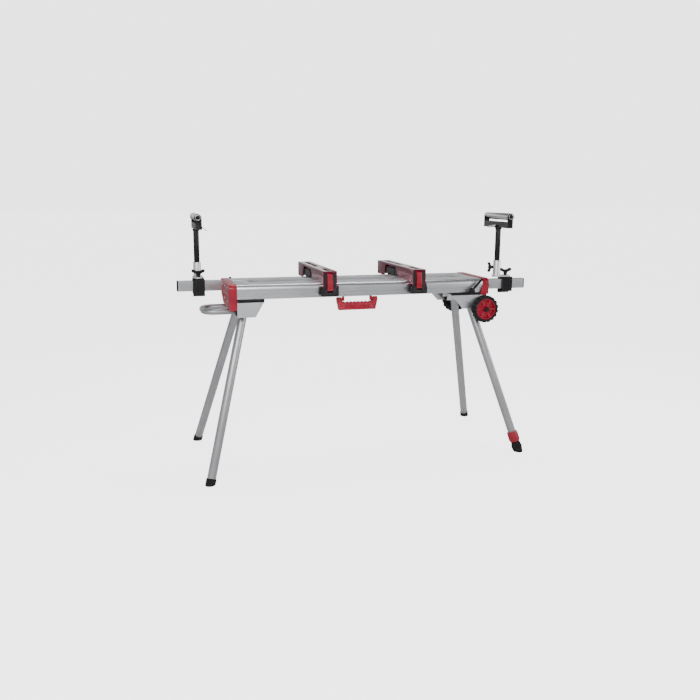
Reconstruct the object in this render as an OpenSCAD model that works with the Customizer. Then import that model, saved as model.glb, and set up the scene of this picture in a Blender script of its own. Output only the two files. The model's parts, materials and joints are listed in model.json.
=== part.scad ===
// Folding saw stand with two-rail beam, four splayed legs, two sliding saw brackets,
// two telescopic roller supports, transport wheels and a tow handle.
// Frame: origin on the floor under the beam's centre, +X along the beam, -Y front, +Z up.

/* [Beam] */
// Length over the two end caps
beam_len = 1130; // [1124:1:1136]
// Height of the rail tops above the floor
beam_top = 758; // [757:1:759]
// Thickness of each end cap
cap_t = 30; // [28:1:31]
// Half the width over both rails
beam_half = 140; // [140:1:141]
// Half the open gap between the rails
gap_half = 42; // [38:1:43]

/* [Legs] */
// Outside diameter of a leg tube
leg_d = 35; // [32:1:36]
// Distance of a foot from the centre along the beam
foot_x = 673; // [668:1:678]
// Distance of a foot from the centre across the beam
foot_y = 276; // [270:1:280]
// Height of the leg pivots
pivot_z = 662; // [660:1:663]

/* [Extension tubes] */
// Width of a tube
tube_w = 30; // [28:1:31]
// Height of a tube
tube_h = 43; // [42:1:44]
// Distance of the tube ends from the centre
tube_end = 750; // [746:1:760]

/* [Saw brackets] */
// Centre of the left bracket along the beam
saw_left_x = -164; // [-300:1:-100]
// Centre of the right bracket along the beam
saw_right_x = 224; // [100:1:300]
// Width of a bracket bar
saw_w = 58; // [54:1:60]
// Height of the saw seats above the floor
saw_top = 808; // [806:1:812]

/* [Roller supports] */
// Diameter of a post
post_d = 24; // [22:1:25]
// Height of the left roller's axis above the floor
roller_z = 1015; // [1010:1:1020]
// Diameter of a roller
roller_d = 30; // [28:1:32]
// Length of a roller
roller_len = 206; // [190:1:210]

/* [Wheels] */
// Diameter of a wheel
wheel_d = 120; // [116:1:124]
// Width of a wheel
wheel_w = 32; // [30:1:32]

/* [Hidden] */
$fn = 64;

fit = 0.05;            // radial clearance of a pin in its bore
slide_gap = 0.3;       // clearance around a sliding tube
rail_bot = beam_top - 58;
rail_end = beam_len / 2 - cap_t;
nose_r = 20;           // rounded top edge of a rail
nose_y = beam_half - nose_r;
nose_z = beam_top - nose_r;
groove_low = rail_bot + 17;
groove_top = rail_bot + 22;
tube_y = 108;
tube_z = beam_top - 26.5;
guide_w = 36;
guide_h = 48;
pad_z = rail_bot - 6;  // underside of the black pads
flange_z = pad_z - 4;  // underside of the bracket flanges

// Legs: pivot position, lean and the plan angle of the folded leg
lean_x = foot_x * 0.26 / 660;
pivot_x = foot_x - lean_x * pivot_z;
lean_y = (foot_y - 73.4) / 662;
pivot_y = foot_y - lean_y * pivot_z;
left_fold = -2.15;     // folded left legs drift outward by this angle
right_fold = 3.47;     // folded right legs drift inward by this angle
leg_r = leg_d / 2;
pin_r = 5;
latch_pin_r = 4;

latch_x = 34;          // latch pin, along the folded leg from the leg pin
left_inboard = 427;    // inboard ends of the brackets' flanges
right_inboard = 385;
plate_foot = 628;      // lower edge of the bracket plates
leg_len = pivot_z * norm([1, lean_x, lean_y]);

// Saw brackets
saw_front = -168;
saw_rear = 290;
wall = 4;              // side walls of a bar
roof = 6;              // top wall of a bar
slot_len = 80;
slot_w = 12;
slot_ys = [-99, 95, 205];
liners = [[-149, -50], [39, 261]];
liner_w = 18;
bar_z = beam_top + 0.5;
cheek_z = 738;         // lower edge of the cheeks in front of the rail
lever_y = -160;
lever_z = 793;
lever_w = 23;
lever_len = 64;

// Supports
clamp_w = 48;
clamp_x = 661;
arm_len = 44;
arm_z = beam_top + 4.3;
arm_t = 6;
arm_w = 42;
socket_r = 16;
left_socket_top = 826;
right_socket_top = 834;
knob_stem_r = 6;
knob_z = 805;          // axis of the post knobs
right_lift = 13;       // the right post stands this much higher
head_half = roller_len / 2 + 2;
head_z = roller_z - 49;
head_back = -10;       // the trough of a roller head, along its stop's direction
head_front = 15.5;
stop_x = 21.5;
stop_z = head_z + 6;
stop_bend = 20;
stop_curl = 68;
stop_t = 3;
right_tilt = 25;       // the right stop rests this much higher

// Tube locks, tow loop, wheels and carry handle
lock_x = 477;
lock_z = 708;
lock_lean = 44;
loop_r = 11.5;
loop_half = 72;
loop_bend = 45;
loop_end = 668 - loop_r;
loop_z = 645;
plate_x = 530.5;       // inner face of the cross plates
wheel_x = 541.5;
wheel_z = 627;
wheel_y = 158;
axle_r = 6;
lug_y = 108;           // axle lugs of the right cross plate
hub_inset = 3;         // the hub's faces lie this deep in the tyre
handle_x = -38.5;
handle_y = -130;
handle_z = 688;
handle_pin_r = 4;

module along_x(x0, x1) {
    translate([x0, 0, 0]) rotate([90, 0, 90]) linear_extrude(x1 - x0) children();
}
module along_y(y0, y1) {
    translate([0, y1, 0]) rotate([90, 0, 0]) linear_extrude(y1 - y0) children();
}
module box(low, high) {
    translate(low) cube(high - low);
}
module rod_x(x0, x1, r) {
    translate([x0, 0, 0]) rotate([0, 90, 0]) cylinder(r = r, h = x1 - x0);
}
module rod_y(y0, y1, r) {
    translate([0, y1, 0]) rotate([90, 0, 0]) cylinder(r = r, h = y1 - y0);
}
// Half turn about the vertical: the left end repeats the right end this way.
module other_end() {
    rotate([0, 0, 180]) children();
}
// Shapes are drawn at the front left corner, which is corner (0, 0): the others mirror it.
module corner(right, rear) {
    mirror([right, 0, 0]) mirror([0, rear, 0]) children();
}

// ---- Beam ----
module rail_profile() {
    difference() {
        union() {
            translate([gap_half, rail_bot]) square([nose_y - gap_half, beam_top - rail_bot]);
            translate([nose_y, nose_z]) circle(r = nose_r);
            translate([nose_y - 1, groove_top]) square([nose_r + 1, nose_z - groove_top]);
            translate([nose_y - 1, groove_low - 1]) square([15, 7]);
            translate([nose_y - 1, rail_bot]) square([nose_r - 1, groove_low - rail_bot]);
        }
        translate([tube_y - guide_w / 2, tube_z - guide_h / 2]) square([guide_w, guide_h]);
        translate([gap_half + 4, rail_bot + 4]) square([40, 50]);
        for (y = [56, 62, 98, 104]) translate([y, beam_top - 0.8]) square([2, 2]);
        translate([nose_y + 16.8, rail_bot + 7]) square([4, 3]);
    }
}
module rail() {
    along_x(-rail_end, rail_end) rail_profile();
}
module front_rail() {
    color("silver") mirror([0, 1, 0]) rail();
}
module rear_rail() {
    color("silver") rail();
}
module cap_outline(tab_z) {
    top = beam_top + 2;
    translate([-nose_y, rail_bot + 1]) square([2 * nose_y, top - rail_bot - 1]);
    for (s = [-1, 1]) {
        translate([s * nose_y, top - nose_r]) circle(r = nose_r);
        translate([s > 0 ? nose_y - 1 : -beam_half, rail_bot + 1]) square([nose_r + 1, 39]);
    }
    polygon([[-104, rail_bot - 38], [70, rail_bot - 38], [137, rail_bot + 2], [-137, rail_bot + 2]]);
    translate([-beam_half, tab_z]) square([28, rail_bot + 2 - tab_z]);
}
// An end cap for the right end; hole_side is the side of the tube it lets through.
module end_cap(hole_side, tab_z) {
    face = beam_len / 2;
    difference() {
        along_x(rail_end, face) cap_outline(tab_z);
        box([rail_end - 1, hole_side * tube_y - tube_w / 2 - 0.5, tube_z - tube_h / 2 - 0.5],
            [face + 1, hole_side * tube_y + tube_w / 2 + 0.5, tube_z + tube_h / 2 + 0.5]);
        box([face - 2, -86, rail_bot + 14], [face + 1, 86, beam_top - 8]);
        box([face - 2, -84, rail_bot - 30], [face + 1, 52, rail_bot + 4]);
    }
}
// Slanting tab in front of the right cap, above the wheel.
module wheel_tab() {
    along_y(-beam_half - 6, -beam_half - 2.6) polygon([[rail_end, 732], [565, 732], [565, 726], [555, 716],
        [552, 688.5], [522, 688.5], [530, 716], [rail_end, 722]]);
    box([rail_end, -beam_half - 3, 718], [557, -beam_half + 1, 732]);
}
module right_end_cap() {
    color("red") {
        end_cap(-1, rail_bot - 10);
        wheel_tab();
    }
}
module left_end_cap() {
    color("red") mirror([1, 0, 0]) end_cap(1, rail_bot - 44);
}
module cap_screws() {
    color("silver") for (side = [-1, 1]) {
        for (p = [[-70, 42], [70, 42], [0, 42], [-66, -14], [34, -14]]) {
            translate([side * (beam_len / 2 - 0.5), p[0], rail_bot + p[1]]) difference() {
                rotate([0, 90, 0]) cylinder(r = 5.5, h = 3, center = true);
                translate([side * 1.5, 0, 0]) rotate([0, 90, 0])
                    cylinder(r = 2.6, h = 2, center = true, $fn = 6);
            }
        }
    }
}
module end_plates() {
    color("silver") for (side = [0, 1]) mirror([side, 0, 0])
        box([470, -gap_half, beam_top - 6], [rail_end, gap_half, beam_top - 1]);
}
module cross_ties() {
    color("silver") for (x = [-300, 0, 300]) {
        box([x - 20, -gap_half, rail_bot + 6], [x + 20, gap_half, rail_bot + 10]);
    }
}
module bracket_pads() {
    color("black") for (rt = [0, 1]) {
        inboard = rt == 1 ? right_inboard : left_inboard;
        for (rr = [0, 1]) corner(rt, rr) {
            box([-rail_end, -beam_half - 2.5, pad_z], [-inboard, -45, rail_bot]);
            box([-rail_end, -beam_half - 2.5, pad_z - 6], [-inboard, -beam_half - 0.2, pad_z]);
        }
    }
}

// ---- Legs ----
// Frame whose X is the folded leg's direction and whose Y is the hinge axis.
module hinge_frame(fold) {
    flat = lean_y * cos(fold) - lean_x * sin(fold);
    translate([-pivot_x, -pivot_y, pivot_z]) rotate([-atan(flat), 0, fold]) children();
}
// Frame whose Z runs up the leg in use.
module leg_frame(fold) {
    run = lean_x * cos(fold) + lean_y * sin(fold);
    flat = lean_y * cos(fold) - lean_x * sin(fold);
    hinge_frame(fold) rotate([0, atan(run / norm([1, flat])), 0]) children();
}
// Front plate, flange and the two cheeks that hold a leg; inboard and slant shape the plate's inner edge.
module leg_bracket(fold, inboard, slant) {
    difference() {
        union() {
            along_y(-beam_half, -beam_half + 3) polygon([[-rail_end, flange_z + 1],
                [-inboard, flange_z + 1], [-inboard - slant, plate_foot], [-rail_end, plate_foot]]);
            box([-rail_end, -beam_half, flange_z], [-inboard, -45, pad_z]);
            intersection() {
                hinge_frame(fold) for (y = [-24, 20]) translate([-18, y, -18]) cube([62, 4, 62]);
                box([-560, -160, 600], [-400, 0, flange_z + 2]);
            }
        }
        hinge_frame(fold) rod_y(-30, 30, pin_r + fit);
        hinge_frame(fold) translate([latch_x, 0, 0]) rod_y(-30, -10, latch_pin_r + fit);
    }
}
module leg_bracket_front_left() {
    color("silver") corner(0, 0) leg_bracket(left_fold, left_inboard, 36);
}
module leg_bracket_rear_left() {
    color("silver") corner(0, 1) leg_bracket(left_fold, left_inboard, 36);
}
module leg_bracket_front_right() {
    color("silver") corner(1, 0) leg_bracket(right_fold, right_inboard, 59);
}
module leg_bracket_rear_right() {
    color("silver") corner(1, 1) leg_bracket(right_fold, right_inboard, 59);
}
module leg_pins(fold) {
    hinge_frame(fold) {
        rod_y(-24, 24, pin_r);
        rod_y(-27, -24, 8);
        rod_y(24, 27, 8);
        translate([latch_x, 0, 0]) {
            rod_y(-43, -20, latch_pin_r);
            rod_y(-45, -43, 7);
        }
    }
}
module pivot_pins() {
    color("dimgray") {
        for (rr = [0, 1]) {
            corner(0, rr) leg_pins(left_fold);
            corner(1, rr) leg_pins(right_fold);
        }
        for (turn = [0, 180]) rotate([0, 0, turn]) translate([lock_x, 0, lock_z]) {
            rod_y(-161, -beam_half + 2, 5);
            rod_y(-163, -161, 8);
        }
    }
}
module leg_tube(fold, bottom) {
    leg_frame(fold) difference() {
        translate([0, 0, -bottom]) cylinder(r = leg_r, h = bottom + 20);
        translate([0, 0, -bottom - 1]) cylinder(r = leg_r - 2, h = bottom + 18);
        rod_y(-30, 30, pin_r + fit);
    }
}
module leg_front_left() {
    color("silver") corner(0, 0) leg_tube(left_fold, leg_len - 8);
}
module leg_rear_left() {
    color("silver") corner(0, 1) leg_tube(left_fold, leg_len - 8);
}
module leg_front_right() {
    color("silver") corner(1, 0) leg_tube(right_fold, leg_len - 59);
}
module leg_rear_right() {
    color("silver") corner(1, 1) leg_tube(right_fold, leg_len - 8);
}
module above_floor() {
    intersection() {
        children();
        box([-900, -500, 0], [900, 500, 300]);
    }
}
module foot_cap(fold) {
    above_floor() leg_frame(fold) difference() {
        translate([0, 0, -leg_len - 10]) cylinder(r = leg_r + 2.5, h = 34);
        translate([0, 0, -leg_len + 8]) cylinder(r = leg_r, h = 40);
    }
}
module foot_cap_front_left() {
    color("black") corner(0, 0) foot_cap(left_fold);
}
module foot_cap_rear_left() {
    color("black") corner(0, 1) foot_cap(left_fold);
}
module foot_cap_rear_right() {
    color("black") corner(1, 1) foot_cap(right_fold);
}
module levelling_collar() {
    color("red") corner(1, 0) leg_frame(right_fold) translate([0, 0, -leg_len]) difference() {
        union() {
            translate([0, 0, 50]) cylinder(r = leg_r + 5, h = 42);
            translate([0, 0, 46]) cylinder(r1 = leg_r + 2, r2 = leg_r + 5, h = 4);
            for (a = [0:30:330]) rotate([0, 0, a]) translate([leg_r + 4.4, 0, 54]) cylinder(r = 2, h = 32);
        }
        translate([0, 0, 58.7]) cylinder(r = leg_r + slide_gap, h = 40);
        translate([0, 0, 40]) cylinder(r = leg_r - 2.3, h = 30);
    }
}
module levelling_foot() {
    color("black") above_floor() corner(1, 0) leg_frame(right_fold) translate([0, 0, -leg_len]) {
        translate([0, 0, 20]) cylinder(r = leg_r - 2.6, h = 130);
        translate([0, 0, 24]) cylinder(r1 = leg_r + 6, r2 = leg_r + 1, h = 20);
        translate([0, 0, -14]) cylinder(r1 = leg_r - 1, r2 = leg_r + 6, h = 38);
    }
}
// Spring lever beside each leg, on the bracket's outer cheek.
module latch(fold) {
    hinge_frame(fold) difference() {
        union() {
            along_y(-40, -28) polygon([[43, 4], [42, -12], [22, -44], [-22, -54], [-28, -44],
                [12, -28], [25, 4]]);
            translate([latch_x, 0, 0]) rod_y(-40, -28, 10);
        }
        translate([latch_x, 0, 0]) rod_y(-50, -20, latch_pin_r + fit);
        for (x = [-16, -6, 4]) translate([x, -34, -54 + (x + 22) * 0.23]) rotate([90, 0, 0])
            cylinder(r = 2, h = 20, center = true);
    }
}
module latch_front_left() {
    color("black") corner(0, 0) latch(left_fold);
}
module latch_rear_left() {
    color("black") corner(0, 1) latch(left_fold);
}
module latch_front_right() {
    color("black") corner(1, 0) latch(right_fold);
}
module latch_rear_right() {
    color("black") corner(1, 1) latch(right_fold);
}

// ---- Tow handle, cross plates and wheels ----
module loop_corner() {
    translate([-loop_end + loop_bend, loop_half - loop_bend, loop_z])
        rotate([0, 0, 90]) rotate_extrude(angle = 90) translate([loop_bend, 0]) circle(r = loop_r);
}
module tow_handle() {
    color("silver") {
        for (s = [0, 1]) mirror([0, s, 0]) {
            translate([0, loop_half, loop_z]) rod_x(-loop_end + loop_bend, -rail_end, loop_r);
            loop_corner();
        }
        translate([-loop_end, 0, loop_z]) rod_y(-loop_half + loop_bend, loop_half - loop_bend, loop_r);
    }
}
module cross_plates() {
    color("dimgray") {
        box([-rail_end, -100, 630], [-plate_x, 100, flange_z]);
        difference() {
            union() {
                box([plate_x, -lug_y - 10, 612], [rail_end, lug_y + 10, flange_z]);
                for (y = [-lug_y - 10, lug_y]) {
                    box([plate_x, y, 614], [wheel_x, y + 10, 640]);
                    translate([wheel_x, 0, wheel_z]) rod_y(y, y + 10, 13);
                }
            }
            translate([wheel_x, 0, wheel_z]) rod_y(-130, 130, axle_r + fit);
        }
    }
}
module wheel_axle() {
    hub_half = wheel_w / 2 - hub_inset;
    color("silver") translate([wheel_x, 0, wheel_z]) {
        rod_y(-179, 179, axle_r);
        for (s = [0, 1]) mirror([0, s, 0]) {
            rod_y(wheel_y - hub_half - 4, wheel_y - hub_half - 0.3, 9.5);
            rod_y(wheel_y + hub_half + 0.3, wheel_y + hub_half + 6, 9.5);
        }
    }
}
module wheel(y) {
    r = wheel_d / 2;
    hub_r = r - 14;
    translate([wheel_x, y, wheel_z]) {
        color("black") difference() {
            rod_y(-wheel_w / 2, wheel_w / 2, r);
            rod_y(-wheel_w, wheel_w, hub_r);
            for (a = [0:18:342]) rotate([0, a, 0]) translate([r, 0, 0]) {
                box([-3, -wheel_w, -2.5], [3, -6, 2.5]);
                rotate([0, 9, 0]) box([-3.7, 6, -2.5], [3, wheel_w, 2.5]);
            }
        }
        color("red") difference() {
            rod_y(-wheel_w / 2 + hub_inset, wheel_w / 2 - hub_inset, hub_r - 0.1);
            for (s = [0, 1]) mirror([0, s, 0]) difference() {
                rod_y(6, wheel_w, hub_r - 5);
                rod_y(0, wheel_w, 14);
                for (a = [0:60:300]) rotate([0, a, 0]) box([0, 0, -4], [hub_r, 14, 4]);
            }
            rod_y(-wheel_w, wheel_w, axle_r + fit);
            for (s = [0, 1]) mirror([0, s, 0]) rod_y(wheel_w / 2 - 4, wheel_w, 10);
        }
    }
}
// Front and rear wheels share the axle at the right end.
module front_wheel() {
    wheel(-wheel_y);
}
module rear_wheel() {
    wheel(wheel_y);
}

// ---- Carry handle ----
module handle_lugs() {
    color("black") for (s = [-1, 1]) translate([handle_x, handle_y, handle_z]) {
        difference() {
            union() {
                box([s * 60 - 4, -8, 0], [s * 60 + 4, 8, rail_bot - handle_z]);
                rod_x(s * 60 - 4, s * 60 + 4, 8);
            }
            rod_x(s * 60 - 5, s * 60 + 5, handle_pin_r);
        }
        rod_x(s * 71 - 16, s * 71 + 16, handle_pin_r);
    }
}
module handle_outline() {
    difference() {
        polygon([[-88, -4], [-88, 0], [88, 0], [88, -4], [79, -45], [-79, -45]]);
        polygon([[-68.5, 3], [68.5, 3], [63, -11], [-63, -11]]);
        for (x = [-48:16:48]) translate([x, -5.5]) circle(r = 8.5);
    }
}
module carry_handle() {
    color("red") translate([handle_x, handle_y, handle_z]) difference() {
        union() {
            difference() {
                along_y(-10, 10) handle_outline();
                for (y = [-12, 8]) box([-120, y, -8], [120, y + 4, 5]);
            }
            for (s = [-1, 1]) rod_x(s * 78.5 - 9.5, s * 78.5 + 9.5, 9);
        }
        rod_x(-100, 100, handle_pin_r + fit);
        for (y = [-10, 8.5]) box([-52, y - 0.5, -38], [52, y + 2, -24]);
    }
}

// ---- Extension tubes and their locks ----
module tube_guides() {
    color("black") for (turn = [0, 180]) rotate([0, 0, turn]) difference() {
        translate([(455 + rail_end) / 2, -tube_y, tube_z])
            cube([rail_end - 455, guide_w, guide_h], center = true);
        translate([500, -tube_y, tube_z])
            cube([120, tube_w + 2 * slide_gap, tube_h + 2 * slide_gap], center = true);
    }
}
module extension_tube() {
    length = 700;
    translate([tube_end - length / 2, -tube_y, tube_z]) difference() {
        cube([length, tube_w, tube_h], center = true);
        cube([length + 2, tube_w - 4, tube_h - 4], center = true);
    }
    translate([tube_end - 8, -tube_y, tube_z]) cube([16, tube_w - 4.2, tube_h - 4.2], center = true);
}
module right_tube() {
    color("silver") extension_tube();
}
module left_tube() {
    color("silver") other_end() extension_tube();
}
// Slanting lever on the rail's face that clamps the tube.
module tube_lock() {
    translate([lock_x, 0, lock_z]) difference() {
        union() {
            rod_y(-160, -148, 12);
            rotate([0, lock_lean, 0]) {
                box([-4, -155.5, 0], [4, -148.5, 66]);
                translate([0, 0, 66]) rod_y(-156, -148, 5.5);
                for (a = [0:60:300]) rotate([0, a, 0]) translate([0, 0, 11.5]) rod_y(-159, -149, 2.5);
            }
        }
        rod_y(-170, -130, 5 + fit);
    }
}
module right_tube_lock() {
    color("black") tube_lock();
}
module left_tube_lock() {
    color("black") other_end() tube_lock();
}

// ---- Work supports ----
// Sleeve clamp, a little deeper on the side that faces the other rail.
module clamp() {
    difference() {
        along_x(clamp_x - clamp_w / 2, clamp_x + clamp_w / 2) polygon([[-132, 698], [-132, beam_top + 4],
            [-92, beam_top + 4], [-84, beam_top - 1], [-84, 689], [-100, 689], [-106, 698]]);
        translate([clamp_x, -tube_y, tube_z])
            cube([clamp_w + 2, tube_w + 2 * slide_gap, tube_h + 2 * slide_gap], center = true);
        translate([clamp_x, -tube_y, 740]) cylinder(r = knob_stem_r + fit, h = 40);
        for (x = [-16, -5.3, 5.3, 16]) {
            box([clamp_x + x - 2, -133, 704], [clamp_x + x + 2, -130.5, beam_top - 2]);
            box([clamp_x + x - 2, -85.5, 695], [clamp_x + x + 2, -83, beam_top - 7]);
        }
    }
}
module right_clamp() {
    color("black") clamp();
}
module left_clamp() {
    color("black") other_end() clamp();
}
module place_support(left) {
    if (left) translate([-clamp_x, tube_y, 0]) children();
    else translate([clamp_x, -tube_y, 0]) children();
}
// Knob with two raised wings; its axis is Z and its hub starts at the origin.
module wing_knob() {
    cylinder(r1 = 7, r2 = 12, h = 24);
    for (s = [0, 1]) mirror([s, 0, 0]) rotate([90, 0, 0]) linear_extrude(11, center = true)
        polygon([[0, 10], [10, 13], [19, 17], [24, 18], [27, 21], [27, 28],
            [24, 31], [18, 31], [11, 26], [0, 23]]);
}
module clamp_knob() {
    translate([0, 0, beam_top - 3]) cylinder(r = knob_stem_r, h = 24);
    translate([0, 0, arm_z + arm_t + 0.5]) wing_knob();
}
module right_clamp_knob() {
    color("black") place_support(false) clamp_knob();
}
module left_clamp_knob() {
    color("black") place_support(true) clamp_knob();
}
// Swivel arm along +X from the clamp knob, with the post socket at its end.
module arm(socket_top) {
    difference() {
        union() {
            translate([0, 0, arm_z]) cylinder(r = arm_w / 2, h = arm_t);
            box([0, -arm_w / 2, arm_z], [arm_len, arm_w / 2, arm_z + arm_t]);
            translate([arm_len, 0, arm_z]) {
                cylinder(r = arm_w / 2, h = arm_t);
                cylinder(r = socket_r, h = socket_top - arm_z);
            }
            translate([0, 0, knob_z]) rod_x(arm_len + post_d / 2 + 1, arm_len + socket_r + 3, 9);
        }
        translate([0, 0, arm_z - 1]) cylinder(r = knob_stem_r + 0.5, h = 12);
        translate([arm_len, 0, arm_z - 1]) cylinder(r = post_d / 2 + fit, h = 100);
        translate([0, 0, knob_z]) rod_x(arm_len + 8, arm_len + 30, 5 + fit);
    }
}
module right_arm() {
    color("silver") place_support(false) rotate([0, 0, 180]) arm(right_socket_top);
}
module left_arm() {
    color("silver") place_support(true) rotate([0, 0, 90]) arm(left_socket_top);
}
module post_knob() {
    face = arm_len + socket_r + 3.3;
    translate([0, 0, knob_z]) {
        rod_x(arm_len + post_d / 2 + 0.4, face + 4, 5);
        translate([face, 0, 0]) rotate([0, 90, 0]) scale(0.8) wing_knob();
    }
}
module right_post_knob() {
    color("black") place_support(false) rotate([0, 0, 180]) post_knob();
}
module left_post_knob() {
    color("black") place_support(true) rotate([0, 0, 90]) post_knob();
}
// Posts, heads, rollers and stops stand on the socket's axis.
module at_post(left) {
    if (left) translate([-clamp_x, tube_y + arm_len, 0]) children();
    else translate([clamp_x - arm_len, -tube_y, right_lift]) children();
}
module post() {
    translate([0, 0, arm_z + 1]) difference() {
        cylinder(r = post_d / 2, h = head_z - arm_z - 1);
        translate([0, 0, -1]) cylinder(r = post_d / 2 - 2, h = head_z - arm_z - 3);
    }
}
module right_post() {
    color("black") at_post(false) post();
}
module left_post() {
    color("black") at_post(true) post();
}
// Trough with two end plates that carry the roller; its open stop side is +X.
module roller_head() {
    box([head_back, -head_half, head_z], [head_front, head_half, head_z + 3]);
    for (x = [head_back, head_front - 2.5]) box([x, -head_half, head_z], [x + 2.5, head_half, head_z + 26]);
    for (s = [-1, 1]) translate([0, s * (head_half + 2), 0]) {
        box([head_back, -2, head_z], [head_front, 2, roller_z]);
        translate([0, 0, roller_z]) rod_y(-2, 2, 14.8);
    }
    translate([0, 0, roller_z]) {
        rod_y(-head_half - 7, head_half + 7, 4);
        for (s = [-1, 1]) translate([0, s * (head_half + 5.5), 0]) rod_y(-1.5, 1.5, 8);
    }
    translate([0, 0, head_z - 8]) difference() {
        cylinder(r = post_d / 2 + 2.5, h = 8);
        translate([0, 0, -1]) cylinder(r = post_d / 2 + fit, h = 10);
    }
}
module stop_lugs() {
    for (y = [-17, 14]) translate([0, y, 0]) {
        box([head_front, 0, head_z + 1], [stop_x, 3, head_z + 11]);
        translate([stop_x, 0, stop_z]) rod_y(0, 3, 5);
    }
    translate([stop_x, 0, stop_z]) rod_y(-19, 19, 2.5);
}
module head() {
    roller_head();
    stop_lugs();
}
module right_roller_head() {
    color("dimgray") at_post(false) rotate([0, 0, 180]) head();
}
module left_roller_head() {
    color("dimgray") at_post(true) head();
}
module roller() {
    translate([0, 0, roller_z]) difference() {
        rod_y(-roller_len / 2, roller_len / 2, roller_d / 2);
        rod_y(-roller_len, roller_len, 4 + fit);
        for (s = [0, 1]) mirror([0, s, 0]) rod_y(roller_len / 2 - 8, roller_len, 11);
    }
    translate([0, 0, roller_z]) for (s = [0, 1]) mirror([0, s, 0]) difference() {
        rod_y(roller_len / 2 - 8, roller_len / 2 - 2, 11);
        rod_y(0, roller_len, 4 + fit);
    }
}
module right_roller() {
    color("gainsboro") at_post(false) roller();
}
module left_roller() {
    color("gainsboro") at_post(true) roller();
}
// Narrow flip-up stop whose tip curls down.
module stop_outline() {
    difference() {
        union() {
            circle(r = 5);
            translate([0, -5]) square([4, stop_t]);
            translate([4, stop_t - 5 - stop_bend]) intersection() {
                difference() {
                    circle(r = stop_bend);
                    circle(r = stop_bend - stop_t);
                }
                polygon([[0, 0], [0, 40], [40, 40], [40 * sin(stop_curl), 40 * cos(stop_curl)]]);
            }
        }
        circle(r = 2.5 + fit);
    }
}
module flip_stop(tilt) {
    translate([stop_x, 0, stop_z]) rotate([0, -tilt, 0]) along_y(-13.5, 13.5) stop_outline();
}
module right_flip_stop() {
    color("silver") at_post(false) rotate([0, 0, 180]) flip_stop(right_tilt);
}
module left_flip_stop() {
    color("silver") at_post(true) flip_stop(0);
}

// ---- Saw brackets ----
// A slot along Y with round ends, from y0 to y1.
module long_slot(y0, y1, width, low, high) {
    r = width / 2;
    box([-r, y0 + r, low], [r, y1 - r, high]);
    for (y = [y0 + r, y1 - r]) translate([0, y, low]) cylinder(r = r, h = high - low);
}
module bolt_slots() {
    for (y = slot_ys) long_slot(y - slot_len / 2, y + slot_len / 2, slot_w, saw_top - 20, saw_top + 1);
}
module saw_bar(x) {
    side = saw_w / 2;
    translate([x, 0, 0]) difference() {
        union() {
            box([-side, saw_front, bar_z], [side, saw_rear, saw_top]);
            box([-side, beam_half + 50, bar_z - 12], [side, saw_rear, bar_z + 1]);
            difference() {
                box([-side, saw_front, cheek_z], [side, -nose_y, bar_z + 1]);
                translate([0, -nose_y, nose_z]) rod_x(-saw_w, saw_w, nose_r + 1);
            }
        }
        box([-side + wall, saw_front - 1, bar_z - 40], [side - wall, saw_rear - 5, saw_top - roof]);
        bolt_slots();
        for (ends = liners) long_slot(ends[0], ends[1], liner_w, saw_top - 2.6, saw_top + 1);
        along_x(-saw_w, saw_w) polygon([[8, bar_z - 1], [45, saw_top - 9], [176, saw_top - 9],
            [196, bar_z - 13], [8, bar_z - 13]]);
        box([-saw_w, saw_rear - 28, bar_z - 13], [saw_w, saw_rear + 1, bar_z + 3]);
    }
}
module left_saw_bar() {
    color("darkred") saw_bar(saw_left_x);
}
module right_saw_bar() {
    color("darkred") saw_bar(saw_right_x);
}
// Black parts of a saw bracket: front housing, nose grip, slot liners, middle block, rear hook and foot.
module saw_jaws(x) {
    inner = saw_w / 2 - wall;
    shoulder = cheek_z - 0.2;
    translate([x, 0, 0]) difference() {
        union() {
            along_y(saw_front + 2, saw_front + 18) polygon([[-inner, shoulder], [inner, shoulder],
                [inner, saw_top - roof - 0.2], [-inner, saw_top - roof - 0.2]]);
            along_y(saw_front - 3, saw_front + 18) polygon([[-33, shoulder], [33, shoulder], [36, 731],
                [36, 712], [33, 706], [-33, 706], [-36, 712], [-36, 731]]);
            along_y(saw_front + 16, -beam_half - 0.8) polygon([[-41, 746], [-29.4, 746], [-29.4, shoulder],
                [29.4, shoulder], [29.4, 746], [41, 746], [41, 712], [-41, 712]]);
            box([-30, -beam_half - 2, groove_low + 0.6], [30, -beam_half + 4, groove_top - 0.6]);
            box([-inner, 20, bar_z + 2], [inner, 184, saw_top - 20]);
            for (s = [-1, 1]) box([s * inner - 3, 64, bar_z + 5], [s * inner + 3, 150, saw_top - 22]);
            box([-inner, beam_half + 2, 712], [inner, beam_half + 20, bar_z + 10]);
            box([-22, beam_half - 4, groove_low + 0.6], [22, beam_half + 3, groove_top - 0.6]);
            box([-saw_w / 2 + 0.2, saw_rear - 27.7, bar_z - 12],
                [saw_w / 2 - 0.2, saw_rear - 0.2, bar_z + 2.8]);
        }
        box([-lever_w / 2 - 0.8, saw_front - 5, 722], [lever_w / 2 + 0.8, saw_front + 16.5, saw_top]);
        translate([0, lever_y, lever_z]) rod_x(-40, 40, 3 + fit);
    }
    translate([x, 0, 0]) {
        translate([0, lever_y, lever_z]) rod_x(-inner, inner, 3);
        difference() {
            for (ends = liners)
                long_slot(ends[0] + 0.2, ends[1] - 0.2, liner_w - 0.4, saw_top - 2.6, saw_top - 1);
            bolt_slots();
        }
    }
}
module left_saw_jaws() {
    color("dimgray") saw_jaws(saw_left_x);
}
module right_saw_jaws() {
    color("dimgray") saw_jaws(saw_right_x);
}
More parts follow.
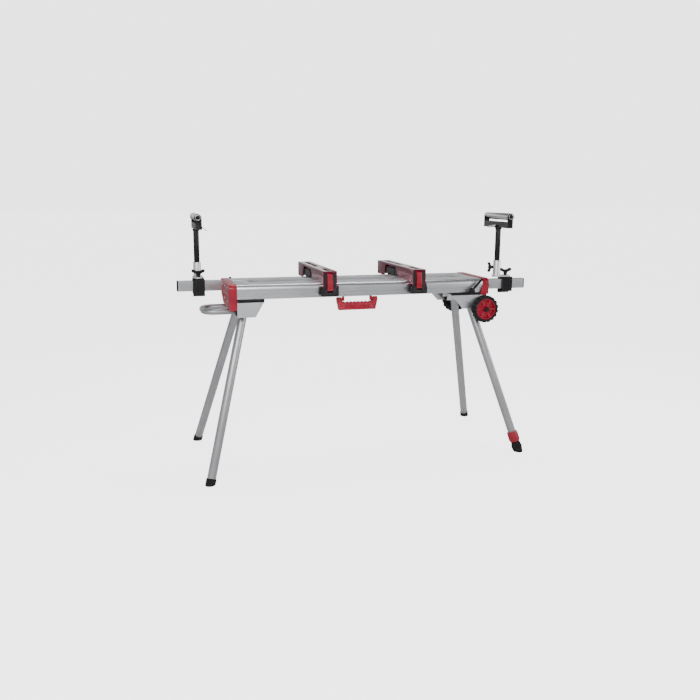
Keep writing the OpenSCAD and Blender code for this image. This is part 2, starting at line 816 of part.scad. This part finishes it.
module saw_lever(x) {
    half = lever_w / 2;
    translate([x, lever_y, lever_z]) difference() {
        union() {
            rod_x(-half, half, 7);
            along_x(-half, half) polygon([[-7, 0], [3, 0], [-1, -lever_len], [-11, -lever_len],
                [-14, -50], [-12, -25]]);
        }
        rod_x(-20, 20, 3 + fit);
        for (z = [-58, -53, -48]) box([-8, -20, z - 1], [8, -11.5, z + 1]);
    }
}
module left_saw_lever() {
    color("red") saw_lever(saw_left_x);
}
module right_saw_lever() {
    color("red") saw_lever(saw_right_x);
}

front_rail();
rear_rail();
left_end_cap();
right_end_cap();
cap_screws();
end_plates();
cross_ties();
leg_bracket_front_left();
leg_bracket_rear_left();
leg_bracket_front_right();
leg_bracket_rear_right();
bracket_pads();
pivot_pins();
tow_handle();
cross_plates();
wheel_axle();
tube_guides();
handle_lugs();
leg_front_left();
leg_rear_left();
leg_front_right();
leg_rear_right();
foot_cap_front_left();
foot_cap_rear_left();
foot_cap_rear_right();
levelling_collar();
levelling_foot();
latch_front_left();
latch_rear_left();
latch_front_right();
latch_rear_right();
left_tube();
right_tube();
left_tube_lock();
right_tube_lock();
left_clamp();
right_clamp();
left_clamp_knob();
right_clamp_knob();
left_arm();
right_arm();
left_post_knob();
right_post_knob();
left_post();
right_post();
left_roller_head();
right_roller_head();
left_roller();
right_roller();
left_flip_stop();
right_flip_stop();
left_saw_bar();
right_saw_bar();
left_saw_jaws();
right_saw_jaws();
left_saw_lever();
right_saw_lever();
carry_handle();
front_wheel();
rear_wheel();
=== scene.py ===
"""Looks of the folding saw stand: detailed pieces and procedural materials around its CAD frame."""

import json
import math

import bmesh
import bpy
from mathutils import Matrix, Vector


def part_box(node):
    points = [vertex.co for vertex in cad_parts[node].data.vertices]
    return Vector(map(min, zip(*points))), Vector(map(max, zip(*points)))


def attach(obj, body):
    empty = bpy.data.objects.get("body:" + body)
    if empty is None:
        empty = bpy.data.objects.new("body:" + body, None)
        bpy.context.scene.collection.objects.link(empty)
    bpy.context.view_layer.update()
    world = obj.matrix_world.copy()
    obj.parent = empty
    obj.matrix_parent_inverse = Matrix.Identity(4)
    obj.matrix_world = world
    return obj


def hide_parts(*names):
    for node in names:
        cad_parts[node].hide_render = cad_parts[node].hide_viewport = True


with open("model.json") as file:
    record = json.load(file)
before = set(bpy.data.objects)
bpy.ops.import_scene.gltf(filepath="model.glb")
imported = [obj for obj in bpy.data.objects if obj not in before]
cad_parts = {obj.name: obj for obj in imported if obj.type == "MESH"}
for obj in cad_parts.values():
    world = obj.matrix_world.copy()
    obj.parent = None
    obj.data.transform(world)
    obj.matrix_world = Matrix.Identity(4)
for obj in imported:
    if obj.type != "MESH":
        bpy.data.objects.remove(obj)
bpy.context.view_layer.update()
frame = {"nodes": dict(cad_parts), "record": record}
BODY_OF = {node: body for body, nodes in frame["record"]["behaviour"]["bodies"].items() for node in nodes}
SLOT_OF = {part["node"]: part["material_slot"] for part in frame["record"]["subparts"]}
JOINTS = {joint["name"]: joint for joint in frame["record"]["behaviour"]["joints"]}
MM = 0.001


# ---------------------------------------------------------------- materials
class Nodes:
    """A material's node tree with short calls for the nodes used here."""

    def __init__(self, name):
        self.material = bpy.data.materials.new(name)
        self.material.use_nodes = True
        self.tree = self.material.node_tree
        self.shader = self.tree.nodes["Principled BSDF"]
        self.place = self.tree.nodes.new("ShaderNodeTexCoord").outputs["Object"]

    def add(self, kind, **settings):
        node = self.tree.nodes.new(kind)
        for key, value in settings.items():
            setattr(node, key, value)
        return node

    def link(self, source, target):
        self.tree.links.new(source, target)

    def mapped(self, scale):
        node = self.add("ShaderNodeMapping")
        node.inputs["Scale"].default_value = scale
        self.link(self.place, node.inputs["Vector"])
        return node.outputs["Vector"]

    def noise(self, scale, detail=3.0, stretch=(1, 1, 1), rough=0.55):
        node = self.add("ShaderNodeTexNoise")
        node.inputs["Scale"].default_value = scale
        node.inputs["Detail"].default_value = detail
        node.inputs["Roughness"].default_value = rough
        self.link(self.mapped(stretch), node.inputs["Vector"])
        return node.outputs["Fac"]

    def band(self, value, low, high, to_low, to_high):
        node = self.add("ShaderNodeMapRange")
        for socket, number in zip(("From Min", "From Max", "To Min", "To Max"), (low, high, to_low, to_high)):
            node.inputs[socket].default_value = number
        self.link(value, node.inputs["Value"])
        return node.outputs["Result"]

    def mix(self, factor, first, second):
        node = self.add("ShaderNodeMix", data_type="RGBA")
        self.link(factor, node.inputs["Factor"])
        for socket, value in ((node.inputs[6], first), (node.inputs[7], second)):
            if isinstance(value, tuple):
                socket.default_value = (*value, 1.0)
            else:
                self.link(value, socket)
        return node.outputs[2]

    def edges(self, low, high):
        """1 on worn outer edges, 0 elsewhere, broken up by a fine noise."""
        geometry = self.add("ShaderNodeNewGeometry")
        worn = self.band(geometry.outputs["Pointiness"], low, high, 0.0, 1.0)
        broken = self.band(self.noise(260, 4), 0.42, 0.62, 0.0, 1.0)
        node = self.add("ShaderNodeMath", operation="MULTIPLY")
        self.link(worn, node.inputs[0])
        self.link(broken, node.inputs[1])
        return node.outputs[0]

    def bump(self, height, strength, distance):
        node = self.add("ShaderNodeBump")
        node.inputs["Strength"].default_value = strength
        node.inputs["Distance"].default_value = distance
        self.link(height, node.inputs["Height"])
        if self.shader.inputs["Normal"].is_linked:
            self.link(self.shader.inputs["Normal"].links[0].from_socket, node.inputs["Normal"])
        self.link(node.outputs["Normal"], self.shader.inputs["Normal"])


def metal(name, light, dark, rough, stretch, streak=0.35, wear=None, clear=0.0, dents=0.03):
    """Drawn or brushed metal: streaks along one axis, cloudy tone, soft scratches."""
    n = Nodes(name)
    n.shader.inputs["Metallic"].default_value = 1.0
    n.shader.inputs["Coat Weight"].default_value = clear
    cloud = n.band(n.noise(9, 4), 0.3, 0.7, 0.0, 1.0)
    lines = n.noise(900, 3, stretch)
    tone = n.mix(cloud, dark, light)
    tone = n.mix(n.band(lines, 0.35, 0.65, 0.0, streak), tone, dark)
    if wear:
        tone = n.mix(n.edges(0.52, 0.6), tone, wear)
    n.link(tone, n.shader.inputs["Base Color"])
    n.link(n.band(lines, 0.3, 0.7, rough - 0.06, rough + 0.08), n.shader.inputs["Roughness"])
    n.bump(lines, 0.12, 0.0002)
    n.bump(n.noise(38, 5), dents, 0.0006)
    return n.material


def plastic(name, light, dark, rough, grain=1700, depth=0.22, wear=None, coat=0.0, shine=0.5):
    """Moulded plastic: fine spark-eroded grain, faint cloudiness, rubbed edges."""
    n = Nodes(name)
    n.shader.inputs["Coat Weight"].default_value = coat
    n.shader.inputs["Coat Roughness"].default_value = 0.25
    n.shader.inputs["Specular IOR Level"].default_value = shine
    cloud = n.band(n.noise(22, 5), 0.35, 0.65, 0.0, 1.0)
    tone = n.mix(cloud, dark, light)
    if wear:
        tone = n.mix(n.edges(0.53, 0.62), tone, wear)
    n.link(tone, n.shader.inputs["Base Color"])
    n.link(n.band(n.noise(60, 4), 0.3, 0.7, rough - 0.07, rough + 0.07), n.shader.inputs["Roughness"])
    n.bump(n.noise(grain, 2), depth, 0.00012)
    n.bump(n.noise(14, 2), 0.05, 0.001)
    return n.material


def rubber(name, tone, rough=0.78):
    """Tyre and foot rubber: matt, slightly dusty, with a coarse moulded skin."""
    n = Nodes(name)
    n.shader.inputs["Specular IOR Level"].default_value = 0.3
    dust = n.band(n.noise(45, 6), 0.5, 0.75, 0.0, 0.35)
    grey = tuple(min(1.0, 3.0 * c + 0.03) for c in tone)
    n.link(n.mix(dust, tone, grey), n.shader.inputs["Base Color"])
    n.link(n.band(n.noise(80, 3), 0.3, 0.7, rough - 0.1, rough + 0.1), n.shader.inputs["Roughness"])
    n.bump(n.noise(750, 3), 0.35, 0.0002)
    return n.material


ALONG_X = (0.012, 1.0, 1.0)
ALONG_Y = (1.0, 0.012, 1.0)
ALONG_Z = (1.0, 1.0, 0.02)
ANY_WAY = (1.0, 1.0, 1.0)
RED, DEEP_RED, PALE_RED = (0.38, 0.001, 0.024), (0.27, 0.001, 0.016), (0.50, 0.05, 0.08)
BLACK, SOFT_BLACK = (0.007, 0.007, 0.0075), (0.004, 0.004, 0.0045)
MATERIALS = {
    "rail": metal("rail_aluminium", (0.66, 0.67, 0.69), (0.57, 0.58, 0.60), 0.36, ALONG_X, 0.2, dents=0.008),
    "tube": metal("tube_aluminium", (0.64, 0.65, 0.67), (0.54, 0.55, 0.57), 0.36, ALONG_X, 0.25, dents=0.01),
    "leg": metal("leg_aluminium", (0.47, 0.475, 0.49), (0.40, 0.405, 0.42), 0.44, ALONG_Z, 0.25, dents=0.01),
    "sheet_metal": metal("zinc_sheet", (0.80, 0.81, 0.83), (0.68, 0.69, 0.71), 0.40, (1.0, 1.0, 0.05), 0.2),
    "red_plastic": plastic("red_plastic", RED, DEEP_RED, 0.34, wear=PALE_RED, coat=0.15),
    "fasteners": metal("zinc_fasteners", (0.62, 0.62, 0.63), (0.45, 0.45, 0.47), 0.3, ANY_WAY, 0.3),
    "black_plastic": plastic("black_plastic", BLACK, SOFT_BLACK, 0.45, wear=(0.035, 0.035, 0.036),
                             shine=0.28),
    "jaw_plastic": plastic("charcoal_plastic", (0.012, 0.010, 0.012), (0.007, 0.006, 0.007), 0.40,
                           wear=(0.05, 0.045, 0.048), shine=0.35),
    "rubber": rubber("foot_rubber", BLACK),
    "wheel_rubber": rubber("tyre_rubber", (0.008, 0.008, 0.0085), 0.66),
    "black_paint": plastic("black_powder_coat", BLACK, SOFT_BLACK, 0.26, 2600, 0.2, (0.05, 0.05, 0.05),
                           shine=0.4),
    "roller_chrome": metal("roller_chrome", (0.78, 0.78, 0.80), (0.68, 0.68, 0.71), 0.10, ANY_WAY, 0.1,
                           dents=0.003),
    "maroon_metal": metal("maroon_anodised", (0.34, 0.022, 0.075), (0.27, 0.015, 0.055), 0.22, ALONG_Y, 0.12,
                          clear=1.0, dents=0.004),
}


# ---------------------------------------------------------------- mesh helpers
def finish_piece(name, mesh, body, slot):
    """Puts a mesh in the scene as a piece that rides on a body and takes a slot's finish."""
    piece = bpy.data.objects.new(name, mesh)
    bpy.context.scene.collection.objects.link(piece)
    mesh.materials.clear()
    mesh.materials.append(MATERIALS[slot])
    for face in mesh.polygons:
        face.use_smooth = True
        face.material_index = 0
    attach(piece, body)
    return piece


def apply_modifiers(piece):
    """Bakes an object's modifiers into its own mesh."""
    ready = bpy.data.meshes.new_from_object(piece.evaluated_get(bpy.context.evaluated_depsgraph_get()))
    piece.modifiers.clear()
    piece.data = ready


def bevel(piece, width, segments=3):
    """Rounds a piece's sharp edges."""
    modifier = piece.modifiers.new("round_edges", "BEVEL")
    modifier.width = width
    modifier.segments = segments
    modifier.limit_method = "ANGLE"
    modifier.angle_limit = math.radians(32)
    modifier.harden_normals = True
    modifier.use_clamp_overlap = True
    apply_modifiers(piece)


def shade(piece, angle=36):
    """Smooth shading that still breaks at sharp edges."""
    mesh = bmesh.new()
    mesh.from_mesh(piece.data)
    for edge in mesh.edges:
        edge.smooth = edge.is_manifold and edge.calc_face_angle(0.0) < math.radians(angle)
    for face in mesh.faces:
        face.smooth = True
    mesh.to_mesh(piece.data)
    mesh.free()


def cad_copy(node, slot=None):
    """A new piece from a CAD node's shape, with its flat faces joined up."""
    mesh = bmesh.new()
    mesh.from_mesh(frame["nodes"][node].data)
    bmesh.ops.remove_doubles(mesh, verts=mesh.verts, dist=1e-6)
    bmesh.ops.dissolve_limit(mesh, angle_limit=math.radians(0.4), verts=mesh.verts, edges=mesh.edges)
    data = bpy.data.meshes.new(node + "_shell")
    mesh.to_mesh(data)
    mesh.free()
    piece = finish_piece(node + "_shell", data, BODY_OF[node], slot or SLOT_OF[node])
    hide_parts(node)
    return piece


def soften(node, width):
    """The CAD node's own shape with rounded edges."""
    piece = cad_copy(node, OTHER_SLOT.get(node))
    bevel(piece, width * MM)
    shade(piece)
    return piece


# ---------------------------------------------------------------- pieces from the CAD shapes
EDGE_MM = {
    "front_rail": 0.5, "rear_rail": 0.5, "left_end_cap": 2.2, "right_end_cap": 2.2, "cap_screws": 0.5,
    "end_plates": 0.6, "cross_ties": 0.6, "bracket_pads": 0.8, "pivot_pins": 0.8, "cross_plates": 1.0,
    "wheel_axle": 0.8, "tube_guides": 0.6, "handle_lugs": 1.2, "carry_handle": 2.6, "levelling_collar": 0.8,
    "levelling_foot": 1.2, "tow_handle": 0.3,
}
BY_KIND_MM = {
    "leg_bracket": 0.9, "leg_": 0.6, "foot_cap": 1.5, "latch": 1.8, "_tube_lock": 1.6, "_tube": 0.9,
    "_clamp_knob": 2.0, "_clamp": 1.6, "_arm": 1.0, "_post_knob": 2.0, "_post": 0.5, "_roller_head": 0.7,
    "_roller": 0.8, "_flip_stop": 0.6, "_saw_bar": 1.4, "_saw_jaws": 2.2, "_saw_lever": 1.6,
}
OTHER_SLOT = {"handle_lugs": "red_plastic"}
WHEELS = ("front_wheel", "rear_wheel")
TUBES = ("left_tube", "right_tube")


def edge_width(node):
    """Edge radius of a CAD node, in millimetres."""
    if node in EDGE_MM:
        return EDGE_MM[node]
    return next(width for kind, width in BY_KIND_MM.items() if kind in node)


for cad_node in frame["nodes"]:
    if cad_node not in WHEELS + TUBES:
        soften(cad_node, edge_width(cad_node))


# ---------------------------------------------------------------- pieces of their own
def lathe(name, outline, centre, axis, body, slot, segments=72):
    """A turned piece: outline is a list of (radius, distance along the axis), in metres."""
    turn = Vector((0.0, 0.0, 1.0)).rotation_difference(Vector(axis)).to_matrix()
    mesh = bmesh.new()
    rings = []
    for radius, along in outline:
        ring = []
        for k in range(segments):
            angle = 2.0 * math.pi * k / segments
            point = turn @ Vector((radius * math.cos(angle), radius * math.sin(angle), along))
            ring.append(mesh.verts.new(point + Vector(centre)))
        rings.append(ring)
    for near, far in zip(rings, rings[1:] + rings[:1]):
        for k in range(segments):
            after = (k + 1) % segments
            mesh.faces.new((near[k], near[after], far[after], far[k]))
    bmesh.ops.remove_doubles(mesh, verts=mesh.verts, dist=1e-7)
    bmesh.ops.recalc_face_normals(mesh, faces=mesh.faces)
    data = bpy.data.meshes.new(name)
    mesh.to_mesh(data)
    mesh.free()
    piece = finish_piece(name, data, body, slot)
    shade(piece)
    return piece


def tyre(name, body, centre, radius, rim, half):
    """Tyre with two staggered rows of blocks that wrap over its shoulders."""
    blocks, steps, groove = 17, 12, 4.2 * MM
    profile = [(rim, -half + 3.0 * MM), (rim + 1.2 * MM, -half + 1.0 * MM),
               (rim + 3.0 * MM, -half + 0.2 * MM), (rim + 6.0 * MM, -half),
               (rim + 9.0 * MM, -half + 0.5 * MM), (radius - 3.5 * MM, -half + 1.4 * MM),
               (radius - 1.2 * MM, -half + 3.0 * MM), (radius - 0.3 * MM, -half + 5.0 * MM),
               (radius, -half * 0.45), (radius, -1.6 * MM), (radius - 0.4 * MM, -0.8 * MM),
               (radius - 3.0 * MM, 0.0)]
    profile += [(r, -y) for r, y in reversed(profile[:-1])]
    profile += [(rim - 0.1 * MM, half - 6.0 * MM), (rim - 0.1 * MM, -half + 6.0 * MM)]
    mesh = bmesh.new()
    count = blocks * steps
    rings = []
    for r, y in profile:
        depth = min(1.0, max(0.0, (r - rim - 7.0 * MM) / (5.0 * MM)))
        phase = 0.0 if y < 0 else 0.5
        ring = []
        for k in range(count):
            place = (k / steps + phase) % 1.0
            side = min(1.0, max(0.0, (abs(place - 0.5) - 0.31) / 0.07))
            dip = groove * depth * side
            angle = 2.0 * math.pi * k / count
            inward = 0.5 * dip * (1.0 if abs(y) > half - 4.0 * MM else 0.0)
            across = y - math.copysign(inward, y)
            ring.append(mesh.verts.new((centre[0] + (r - dip) * math.cos(angle), centre[1] + across,
                                        centre[2] + (r - dip) * math.sin(angle))))
        rings.append(ring)
    for near, far in zip(rings, rings[1:] + rings[:1]):
        for k in range(count):
            mesh.faces.new((near[k], near[(k + 1) % count], far[(k + 1) % count], far[k]))
    bmesh.ops.recalc_face_normals(mesh, faces=mesh.faces)
    data = bpy.data.meshes.new(name)
    mesh.to_mesh(data)
    mesh.free()
    piece = finish_piece(name, data, body, "wheel_rubber")
    shade(piece, 50)
    return piece


def ease(value, low, high):
    """0 below low, 1 above high, and a smooth slope between."""
    share = min(1.0, max(0.0, (value - low) / (high - low)))
    return share * share * (3.0 - 2.0 * share)


def hub_height(r, angle, spokes, rim, boss):
    """How far a hub's face stands out from the wheel's middle, in millimetres."""
    nearest = round(angle / (2.0 * math.pi) * spokes) / spokes * 2.0 * math.pi
    off_spoke = abs(r * math.sin(angle - nearest))
    spoke = 1.0 - ease(off_spoke, 2.4 + 0.05 * r, 4.2 + 0.05 * r)
    ring = ease(r, rim - 7.5, rim - 5.5)
    cup = 1.0 - ease(r, boss, boss + 2.0)
    arm = 9.0 + 2.5 * ease(r, 18.0, rim - 6.0)
    height = 2.0 + (arm - 2.0) * spoke
    height = max(height, 2.0 + 10.6 * ring, 2.0 + 10.9 * cup)
    height -= 1.4 * ease(r, rim - 1.4, rim)
    return height - 1.2 * (1.0 - ease(r, 10.6, 11.6))


def hub_half(name, body, centre, out, slot, rim, bore, spokes):
    """One half of a wheel's hub: a rim, spokes and a boss around the axle's bore."""
    around, across = 240, 66
    turn = Vector((0.0, 0.0, 1.0)).rotation_difference(Vector((0.0, out, 0.0))).to_matrix()
    mesh = bmesh.new()
    face, back = [], []
    for i in range(across + 1):
        r = bore + (rim - bore) * i / across
        for rows, flat in ((face, False), (back, True)):
            row = []
            for k in range(around):
                angle = 2.0 * math.pi * k / around
                high = 0.0 if flat else hub_height(r, angle, spokes, rim, 13.0)
                point = turn @ Vector((r * math.cos(angle), r * math.sin(angle), high))
                row.append(mesh.verts.new(point * MM + centre))
            rows.append(row)
    rings = face + back[::-1]
    for near, far in zip(rings, rings[1:] + rings[:1]):
        for k in range(around):
            after = (k + 1) % around
            mesh.faces.new((near[k], near[after], far[after], far[k]))
    bmesh.ops.dissolve_limit(mesh, angle_limit=math.radians(0.3), verts=mesh.verts, edges=mesh.edges)
    bmesh.ops.triangulate(mesh, faces=[f for f in mesh.faces if len(f.verts) > 4])
    bmesh.ops.recalc_face_normals(mesh, faces=mesh.faces)
    data = bpy.data.meshes.new(name)
    mesh.to_mesh(data)
    mesh.free()
    piece = finish_piece(name, data, body, slot)
    shade(piece, 45)
    return piece


def wheel(side):
    """Lugged tyre on a hub that is red outside and black inside, with a cap over the axle's nut."""
    node = body = side + "_wheel"
    low, high = (Vector(corner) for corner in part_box(node))
    centre = (low + high) / 2.0
    radius, half = (high.x - low.x) / 2.0, (high.y - low.y) / 2.0
    out = -1.0 if side == "front" else 1.0
    rim, bore = radius / MM - 14.1, 6.4
    parts = [tyre(side + "_tyre", body, centre, radius, radius - 14.0 * MM, half),
             hub_half(side + "_hub", body, centre, out, "red_plastic", rim, bore, 6),
             hub_half(side + "_hub_inside", body, centre, -out, "black_plastic", rim, bore, 6)]
    for part in parts:
        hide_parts(node)
    tip = (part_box("wheel_axle")[1][1] - abs(centre.y)) / MM + 0.3
    cap = [(9.9, 13.6), (10.4, 13.6), (10.5, 16.0), (10.0, tip), (8.6, tip + 1.0), (4.6, tip + 1.0),
           (3.9, tip + 0.5), (0.0, tip + 0.4), (0.0, tip), (9.9, tip)]
    outline = [(r * MM, y * MM) for r, y in cap]
    lathe(side + "_hub_cap", outline, centre, (0, out, 0), "beam", "black_plastic", 48)


def tube(side):
    """Extension tube with a black plug in its outer end."""
    node = side + "_tube"
    out = -1.0 if side == "left" else 1.0
    low, high = (Vector(corner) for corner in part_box(node))
    end = high.x if out > 0 else low.x
    plug_t = 5.0 * MM
    shell = cad_copy(node)
    mesh = bmesh.new()
    mesh.from_mesh(shell.data)
    bmesh.ops.bisect_plane(mesh, geom=mesh.verts[:] + mesh.edges[:] + mesh.faces[:],
                           plane_co=(end - out * (plug_t + 0.2 * MM), 0, 0), plane_no=(out, 0, 0),
                           clear_outer=True)
    mesh.to_mesh(shell.data)
    mesh.free()
    bevel(shell, 0.9 * MM)
    shade(shell)
    y, z = (low.y + high.y) / 2.0, (low.z + high.z) / 2.0
    wide, tall = (high.y - low.y) / 2.0, (high.z - low.z) / 2.0
    mesh = bmesh.new()
    for near, far, shrink in ((0.0, plug_t, 0.0), (plug_t, 15.0 * MM, 2.3 * MM)):
        x0, x1 = sorted((end - out * near, end - out * far))
        block = bmesh.ops.create_cube(mesh, size=1.0)["verts"]
        for v in block:
            v.co = Vector(((x0 + x1) / 2 + v.co.x * (x1 - x0), y + v.co.y * 2 * (wide - shrink),
                           z + v.co.z * 2 * (tall - shrink)))
    data = bpy.data.meshes.new(side + "_tube_plug")
    mesh.to_mesh(data)
    mesh.free()
    plug = finish_piece(side + "_tube_plug", data, BODY_OF[node], "black_plastic")
    bevel(plug, 0.9 * MM)
    shade(plug)


def roller_rings(side):
    """Bright washers at both ends of a roller's axle, on the head's end plates."""
    low, high = (Vector(corner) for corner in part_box(side + "_roller"))
    centre = (low + high) / 2.0
    half = (high.y - low.y) / 2.0
    washer = [(8.3, 6.05), (8.3, 7.0), (9.0, 7.4), (10.6, 7.4), (11.6, 6.9), (11.8, 6.05)]
    for name, out in (("front", -1.0), ("rear", 1.0)):
        outline = [(r * MM, half + y * MM) for r, y in washer]
        lathe(side + "_" + name + "_washer", outline, centre, (0, out, 0), side + "_post", "fasteners", 48)


def grip_ribs():
    """Finger ridges: narrow raised bands around the carry handle's grip."""
    low, high = (Vector(corner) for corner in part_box("carry_handle"))
    middle = (low.x + high.x) / 2.0
    count, pitch, deep = 9, 11.5 * MM, 24.5 * MM
    data = bpy.data.meshes.new("grip_ribs")
    mesh = bmesh.new()
    for k in range(count):
        x = middle + (k - (count - 1) / 2.0) * pitch
        for vert in bmesh.ops.create_cube(mesh, size=1.0)["verts"]:
            vert.co = Vector((x + vert.co.x * 7.0 * MM, (low.y + high.y) / 2.0 + vert.co.y * 19.2 * MM,
                              low.z + 1.0 * MM + deep / 2.0 + vert.co.z * deep))
    mesh.to_mesh(data)
    mesh.free()
    ribs = finish_piece("grip_ribs", data, BODY_OF["carry_handle"], "red_plastic")
    bevel(ribs, 2.6 * MM, 4)
    shade(ribs)


def lock_caps():
    """Black caps over the outer ends of the tube locks' pins."""
    outline = [(6.0, 10.2), (9.4, 10.2), (9.6, 11.4), (8.6, 14.0), (6.6, 15.0), (0.0, 15.2), (0.0, 13.4),
               (6.0, 13.4)]
    for side in ("left", "right"):
        pivot = Vector(JOINTS["turn_" + side + "_tube_lock"]["pos_m"])
        out = math.copysign(1.0, pivot.y)
        lathe(side + "_lock_cap", [(r * MM, y * MM) for r, y in outline], pivot, (0, out, 0), "beam",
              "black_plastic", 48)


for end_name in ("front", "rear"):
    wheel(end_name)
grip_ribs()
lock_caps()
for end_name in ("left", "right"):
    tube(end_name)
    roller_rings(end_name)


# ---------------------------------------------------------------- floor, light and camera
def seen_bright(tree, shader, strength):
    """Adds a glow that only shows where the floor is looked at directly, and lights nothing."""
    nodes, links = tree.nodes, tree.links
    glow = nodes.new("ShaderNodeEmission")
    glow.inputs["Strength"].default_value = strength
    both = nodes.new("ShaderNodeAddShader")
    links.new(shader, both.inputs[0])
    links.new(glow.outputs[0], both.inputs[1])
    chosen = nodes.new("ShaderNodeMixShader")
    links.new(nodes.new("ShaderNodeLightPath").outputs["Is Camera Ray"], chosen.inputs[0])
    links.new(shader, chosen.inputs[1])
    links.new(both.outputs[0], chosen.inputs[2])
    return chosen.outputs[0]


def floor():
    """Wide pale floor under the feet."""
    n = Nodes("pale_floor")
    n.link(n.mix(n.noise(3, 2), (0.86, 0.86, 0.86), (0.84, 0.84, 0.845)), n.shader.inputs["Base Color"])
    n.shader.inputs["Roughness"].default_value = 0.9
    out = n.tree.nodes["Material Output"].inputs["Surface"]
    n.link(seen_bright(n.tree, n.shader.outputs[0], 2.9), out)
    mesh = bmesh.new()
    bmesh.ops.create_grid(mesh, x_segments=2, y_segments=2, size=40.0)
    data = bpy.data.meshes.new("floor")
    mesh.to_mesh(data)
    mesh.free()
    data.materials.append(n.material)
    piece = bpy.data.objects.new("floor", data)
    bpy.context.scene.collection.objects.link(piece)


def soft_light(name, place, target, size, power):
    """A soft box at a place, turned towards its target."""
    light = bpy.data.lights.new(name, "AREA")
    light.shape = "RECTANGLE"
    light.size, light.size_y = size
    light.energy = power
    lamp = bpy.data.objects.new(name, light)
    lamp.location = place
    lamp.rotation_euler = (Vector(target) - Vector(place)).to_track_quat("-Z", "Y").to_euler()
    bpy.context.scene.collection.objects.link(lamp)


def studio():
    """White sweep around the object with a darker ceiling, and three soft boxes."""
    world = bpy.data.worlds.new("studio")
    world.use_nodes = True
    tree = world.node_tree
    place = tree.nodes.new("ShaderNodeTexCoord").outputs["Generated"]
    split = tree.nodes.new("ShaderNodeSeparateXYZ")
    tree.links.new(place, split.inputs[0])
    ramp = tree.nodes.new("ShaderNodeValToRGB")
    ramp.color_ramp.elements[0].position = 0.0
    ramp.color_ramp.elements[0].color = (0.85, 0.85, 0.86, 1.0)
    ramp.color_ramp.elements[1].position = 1.0
    ramp.color_ramp.elements[1].color = (0.10, 0.10, 0.105, 1.0)
    for height, tone in ((0.28, 0.84), (0.46, 0.26)):
        ramp.color_ramp.elements.new(height).color = (tone, tone, tone, 1.0)
    tree.links.new(split.outputs["Z"], ramp.inputs[0])
    sky = tree.nodes["Background"]
    tree.links.new(ramp.outputs["Color"], sky.inputs["Color"])
    seen = tree.nodes.new("ShaderNodeBackground")
    seen.inputs["Strength"].default_value = 3.8
    chosen = tree.nodes.new("ShaderNodeMixShader")
    tree.links.new(tree.nodes.new("ShaderNodeLightPath").outputs["Is Camera Ray"], chosen.inputs[0])
    tree.links.new(sky.outputs[0], chosen.inputs[1])
    tree.links.new(seen.outputs[0], chosen.inputs[2])
    tree.links.new(chosen.outputs[0], tree.nodes["World Output"].inputs["Surface"])
    bpy.context.scene.world = world
    soft_light("key", (-1.6, -3.0, 2.6), (0, 0, 0.7), (2.4, 1.0), 95)
    soft_light("top", (0.3, 0.9, 3.2), (0, 0, 0.7), (2.6, 0.5), 42)
    soft_light("fill", (3.0, -1.6, 1.6), (0, 0, 0.6), (1.2, 1.2), 30)


def photo_camera():
    """The camera of the reference view: metres and degrees, with lens and sensor in millimetres."""
    yaw, pitch, roll = (math.radians(a) for a in (18.04, 10.37, 0.6))
    forward = Vector((math.sin(yaw) * math.cos(pitch), math.cos(yaw) * math.cos(pitch), -math.sin(pitch)))
    right = Vector((math.cos(yaw), -math.sin(yaw), 0.0))
    up = right.cross(forward)
    right, up = (right * math.cos(roll) + up * math.sin(roll), up * math.cos(roll) - right * math.sin(roll))
    data = bpy.data.cameras.new("photo_camera")
    data.sensor_width = 36.0
    data.lens = 37.193
    data.shift_x = -0.02214
    data.shift_y = -0.03214
    data.clip_end = 60.0
    camera = bpy.data.objects.new("photo_camera", data)
    facing = Matrix((right, up, -forward)).transposed().to_4x4()
    camera.matrix_world = Matrix.Translation((-0.927, -2.978, 1.112)) @ facing
    bpy.context.scene.collection.objects.link(camera)
    bpy.context.scene.camera = camera


floor()
studio()
photo_camera()

bpy.context.view_layer.update()
